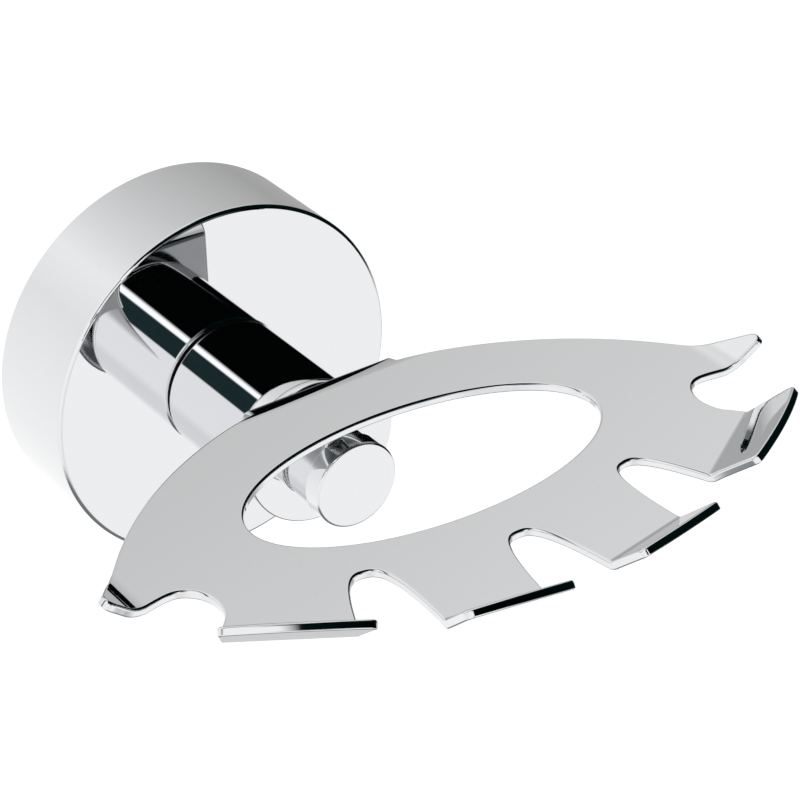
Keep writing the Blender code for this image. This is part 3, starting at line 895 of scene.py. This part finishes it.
dowel_low, dowel_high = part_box("post_dowel")
dowel_x = (dowel_low.x + dowel_high.x) / 2.0 / MM
dowel_r, dowel_front, dowel_back = extent("post_dowel")[:3]
dowel = turned(
    "stop_pin",
    [(0.0, dowel_front), (dowel_r, dowel_front, 0.3), (dowel_r, dowel_back, 0.3), (0.0, dowel_back)],
    48,
    (dowel_x, 0.0),
)
dress(dowel, "post_dowel", "wall_mount", TURNED_STEEL)


def threaded(name, core_r, crest_r, low, high, pitch, chamfer, steps=60, per_turn=10):
    """A solid rod about Y with a helical thread and chamfered ends."""
    root_flat, flank = 0.12, 0.76
    rows = int(round((high - low) / pitch * per_turn))
    work = bmesh.new()
    rings = []
    for k in range(rows + 1):
        y = low + (high - low) * k / rows
        ease = min(1.0, (y - low) / chamfer, (high - y) / chamfer)
        limit = crest_r - (1.0 - ease) * chamfer
        row = []
        for i in range(steps):
            turn = 2.0 * math.pi * i / steps
            phase = ((y - low) / pitch + i / steps) % 1.0
            lift = min(1.0, max(0.0, (abs(phase - 0.5) * 2.0 - root_flat) / flank))
            radius = min(core_r + (crest_r - core_r) * lift, limit)
            row.append(work.verts.new(Vector((radius * math.cos(turn), y, radius * math.sin(turn))) * MM))
        rings.append(row)
    for first, second in zip(rings, rings[1:]):
        for i in range(steps):
            j = (i + 1) % steps
            work.faces.new((first[i], first[j], second[j], second[i]))
    work.faces.new(rings[0])
    work.faces.new(rings[-1])
    bmesh.ops.recalc_face_normals(work, faces=work.faces)
    return from_work(name, work)


bolt_front, head_back = extent("post_bolt")[1:3]
washer_back = extent("post_bolt_washer")[2]
head_front = washer_back + 0.1
head = prism("bolt_head", circle_points(BOLT_AF / math.sqrt(3.0), steps=6), head_front, head_back)
dome = [
    (0.0, head_front - 1.0),
    (9.0, head_front - 1.0),
    (9.0, head_back - 1.1),
    (6.0, head_back),
    (0.0, head_back),
]
cut_by(head, turned("dome", dome, 96), "INTERSECT")
shank = threaded("shank", BOLT_CORE_R, BOLT_R, bolt_front, head_front + 0.6, pitch=1.25, chamfer=0.8)
cut_by(head, shank, "UNION")
head.name = "post_bolt_hex"
dress(soften(head, 25.0), "post_bolt", "wall_mount", TURNED_STEEL)

ferrule_r, ferrule_tip, ferrule_root = extent("post_ferrule")[:3]
sleeve_tip = extent("post_tube")[1]
nose = turned(
    "post_nose",
    [
        (STUD_BORE, ferrule_root, 0.1),
        (SPIGOT_R, ferrule_root, 0.3),
        (SPIGOT_R, sleeve_tip - 0.1, 0.0),
        (ferrule_r, sleeve_tip - 0.1, 0.02),
        (ferrule_r, ferrule_tip, NOSE_ROUND),
        (STUD_BORE, ferrule_tip, 0.3),
    ],
)
dress(nose, "post_ferrule", "wall_mount", POST_CHROME)

# ---------------------------------------------------------------- plate and clamp

dress(notched_plate("notched_plate"), "holder_plate", "holder", PLATE_CHROME)
ring("fibre_washer", "rear_washer", STUD_BORE, 0.08, SEAM_FIBRE, "holder")
bush_r, bush_front, bush_back = extent("tab_bush")[:3]
bush = turned(
    "flanged_bush",
    [
        (STUD_BORE, bush_back, 0.15),
        (TAB_HOLE_R - FIT, bush_back, 0.1),
        (TAB_HOLE_R - FIT, bush_front + BUSH_FLANGE, 0.0),
        (bush_r, bush_front + BUSH_FLANGE, 0.1),
        (bush_r, bush_front, 0.15),
        (STUD_BORE, bush_front, 0.1),
    ],
    96,
)
dress(bush, "tab_bush", "holder", BUSH_NYLON)
stud_r, stud_front, stud_back = extent("clamp_stud")[:3]
stud = threaded("threaded_stud", stud_r - 0.6, stud_r, stud_front, stud_back, pitch=1.0, chamfer=0.6)
dress(soften(stud, 50.0), "clamp_stud", "stud", TURNED_STEEL)
ring("knob_sleeve", "knob_neck", STUD_BORE, 0.12, KNOB_CHROME, "clamp_knob", longer=0.06)
cap_r, cap_front, cap_back = extent("knob_cap")[:3]
cap = turned(
    "knob_cap_round",
    [
        (0.0, cap_front),
        (cap_r, cap_front, 0.35),
        (cap_r, cap_back, 0.15),
        (STUD_BORE, cap_back, 0.1),
        (STUD_BORE, stud_front - 0.2, 0.0),
        (0.0, stud_front - 0.2),
    ],
)
dress(cap, "knob_cap", "clamp_knob", KNOB_CHROME)

# ---------------------------------------------------------------- floor, light and camera

scene = bpy.context.scene
scene.view_settings.view_transform = "Standard"
scene.view_settings.look = "None"
scene.view_settings.exposure = 0.0
scene.view_settings.gamma = 1.0

# The camera looks down and to the right at CAMERA_TO, in millimetres, from CAMERA_FAR away
CAMERA_AZ = math.radians(-34.451)
CAMERA_EL = math.radians(31.979)
CAMERA_ROLL = math.radians(-1.28)
CAMERA_TO = Vector((41.918, 0.0, -27.222))
CAMERA_FAR = 457.44
level = math.cos(CAMERA_EL)
back = Vector((math.sin(CAMERA_AZ) * level, -math.cos(CAMERA_AZ) * level, math.sin(CAMERA_EL)))
right = Vector((math.cos(CAMERA_AZ), math.sin(CAMERA_AZ), 0.0))
up = back.cross(right)
rolled_right = right * math.cos(CAMERA_ROLL) + up * math.sin(CAMERA_ROLL)
rolled_up = up * math.cos(CAMERA_ROLL) - right * math.sin(CAMERA_ROLL)
camera_data = bpy.data.cameras.new("camera")
camera_data.lens = 128.4
camera_data.sensor_width = 36.0
camera_data.clip_start = 0.01
camera_data.clip_end = 20.0
camera = bpy.data.objects.new("camera", camera_data)
aim = Matrix((rolled_right, rolled_up, back)).transposed().to_4x4()
camera.matrix_world = Matrix.Translation((CAMERA_TO + back * CAMERA_FAR) * MM) @ aim
scene.collection.objects.link(camera)
scene.camera = camera

# The studio, as seen in the chrome: by turn, the direction's angle about Y from +X over +Z, and by off,
# its angle from -Y, both in degrees
world = bpy.data.worlds.new("studio")
g = Graph(world=world)
scene.world = world
east, north, sky = g.split(g.coordinates("Generated"))
south = g.times(north, -1.0)
turn = g.maths("FRACT", g.maths("ADD", g.maths("DIVIDE", g.maths("ARCTAN2", sky, east), 2.0 * math.pi), 1.0))
turn = g.times(turn, 360.0)
off = g.times(g.maths("ARCCOSINE", south), 180.0 / math.pi)
azimuth = g.maths("ARCTAN2", east, south)


def window(value, low, high, soft):
    """1 between low and high, 0 outside, easing over soft at each end."""
    rise = g.band(value, low - soft / 2.0, low + soft / 2.0)
    return g.times(rise, g.band(value, high - soft / 2.0, high + soft / 2.0, 1.0, 0.0))


def past_edge(first, second, soft):
    """1 to the right of the great circle from first to second, each (x, z) on the plane y = -1."""
    a, b = Vector((first[0], -1.0, first[1])), Vector((second[0], -1.0, second[1]))
    normal = b.cross(a).normalized()
    parts = [g.times(part, amount) for part, amount in zip((east, north, sky), normal)]
    distance = g.maths("ADD", g.maths("ADD", parts[0], parts[1]), parts[2])
    return g.band(distance, -soft / 2.0, soft / 2.0)


def ramp(value, stops):
    """Grey by value, through stops of (degrees, grey)."""
    made = g.tree.nodes.new("ShaderNodeValToRGB")
    g.feed(made.inputs[0], g.maths("DIVIDE", value, 360.0))
    row = made.color_ramp.elements
    while len(row) < len(stops):
        row.new(0.5)
    for element, (place, grey) in zip(row, stops):
        element.position = place / 360.0
        element.color = (grey, grey, grey, 1.0)
    return made.outputs[0]


ROOM = (1.0, 1.0, 1.012, 1.0)
STRIP = (1.35, 1.36, 1.36, 1.0)
SHADE = (0.86, 0.86, 0.87, 1.0)
DUSK = (0.17, 0.19, 0.195, 1.0)
TEAL = (0.013, 0.030, 0.032, 1.0)
BLACK = (0.0006, 0.0011, 0.0012, 1.0)
BLACK_FAR = (0.0008, 0.0052, 0.0052, 1.0)
WHITE = (1.0, 1.0, 1.0, 1.0)

# Towards the wall: grey at the right, rising over the top to white at the left, with a dark gap overhead
BACKDROP_GREYS = [
    (0, 0.40),
    (30, 0.48),
    (70, 0.63),
    (100, 0.78),
    (126, 0.95),
    (156, 0.87),
    (200, 0.95),
    (290, 1.05),
    (312, 1.0),
    (326, 0.42),
    (360, 0.40),
]
lift = g.times(g.band(off, 128.0, 141.0, 0.22, 0.0), window(turn, 10.0, 90.0, 30.0))
backdrop = g.add("ShaderNodeVectorMath", {"operation": "ADD"}, i0=ramp(turn, BACKDROP_GREYS), i1=lift)
gap = g.times(window(off, 99.0, 109.0, 5.0), window(turn, 85.0, 165.0, 20.0))
backdrop = g.mix(gap, backdrop, TEAL)

# Towards the room: white walls, shaded low down, a bright strip light beside a teal panel, and dusk
# close to -Y at the right
front = g.mix(window(turn, 226.0, 276.0, 18.0), ROOM, SHADE)
front = g.mix(g.times(window(turn, 107.0, 121.0, 6.0), window(off, 28.0, 75.0, 6.0)), front, STRIP)
front = g.mix(g.times(window(turn, 120.0, 151.5, 2.5), window(off, 28.0, 51.0, 4.0)), front, TEAL)
from_below = g.times(g.maths("FRACT", g.maths("ADD", g.maths("DIVIDE", turn, 360.0), 0.25)), 360.0)
right_side = g.times(g.band(off, 33.0, 37.5, 1.0, 0.0), window(from_below, 35.0, 150.0, 30.0))
front = g.mix(right_side, front, DUSK)
whole = g.mix(g.band(north, -0.12, 0.12), front, backdrop)

# The flag, a large black board overhead and to the right, then the dark floor of the room
flag_left = past_edge((-0.325, 0.845), (-0.86, 1.42), 0.05)
flag_low = past_edge((1.6, -0.8), (0.1, -0.3), 0.14)
flag_ends = g.times(g.band(azimuth, 2.10, 2.25, 1.0, 0.0), g.band(azimuth, -1.2, -1.0))
flag = g.times(g.times(flag_left, flag_low), flag_ends)
whole = g.mix(flag, whole, g.mix(g.band(off, 44.0, 51.0), BLACK, BLACK_FAR))
whole = g.mix(g.band(sky, -0.80, -0.68, 1.0, 0.0), whole, DUSK)
seen = g.tree.nodes.new("ShaderNodeLightPath").outputs["Is Camera Ray"]
g.feed(g.shader.inputs["Color"], g.mix(seen, whole, WHITE))

# The floor, in metres: white paper that the chrome doesn't mirror
FLOOR_Z = -0.34
FLOOR_R = 1.3
floor_mesh = bpy.data.meshes.new("floor")
around = [(FLOOR_R * math.cos(a), FLOOR_R * math.sin(a), FLOOR_Z) for a in turns(96)]
floor_mesh.from_pydata(around, [], [list(range(96))])
floor = linked("floor", floor_mesh)
floor.visible_glossy = False
paper = Graph("floor_paper")
tooth = paper.noise(paper.position(), scale=900.0, detail=3.0)
paper.set(
    Base_Color=paper.mix(paper.band(tooth, 0.3, 0.7), (0.90, 0.90, 0.90, 1.0), (0.87, 0.87, 0.87, 1.0)),
    Roughness=0.85,
    Specular_IOR_Level=0.0,
    Emission_Color=WHITE,
    Emission_Strength=0.7,
    Normal=paper.bump(tooth, strength=0.1, distance=0.0002),
)
# A camera below the floor looks up through it
underside = paper.tree.nodes.new("ShaderNodeMixShader")
paper.feed(underside.inputs[0], paper.tree.nodes.new("ShaderNodeNewGeometry").outputs["Backfacing"])
paper.feed(underside.inputs[1], paper.shader.outputs[0])
paper.feed(underside.inputs[2], paper.tree.nodes.new("ShaderNodeBsdfTransparent").outputs[0])
output = next(node for node in paper.tree.nodes if node.type == "OUTPUT_MATERIAL")
paper.feed(output.inputs["Surface"], underside.outputs[0])
floor_mesh.materials.append(paper.material)
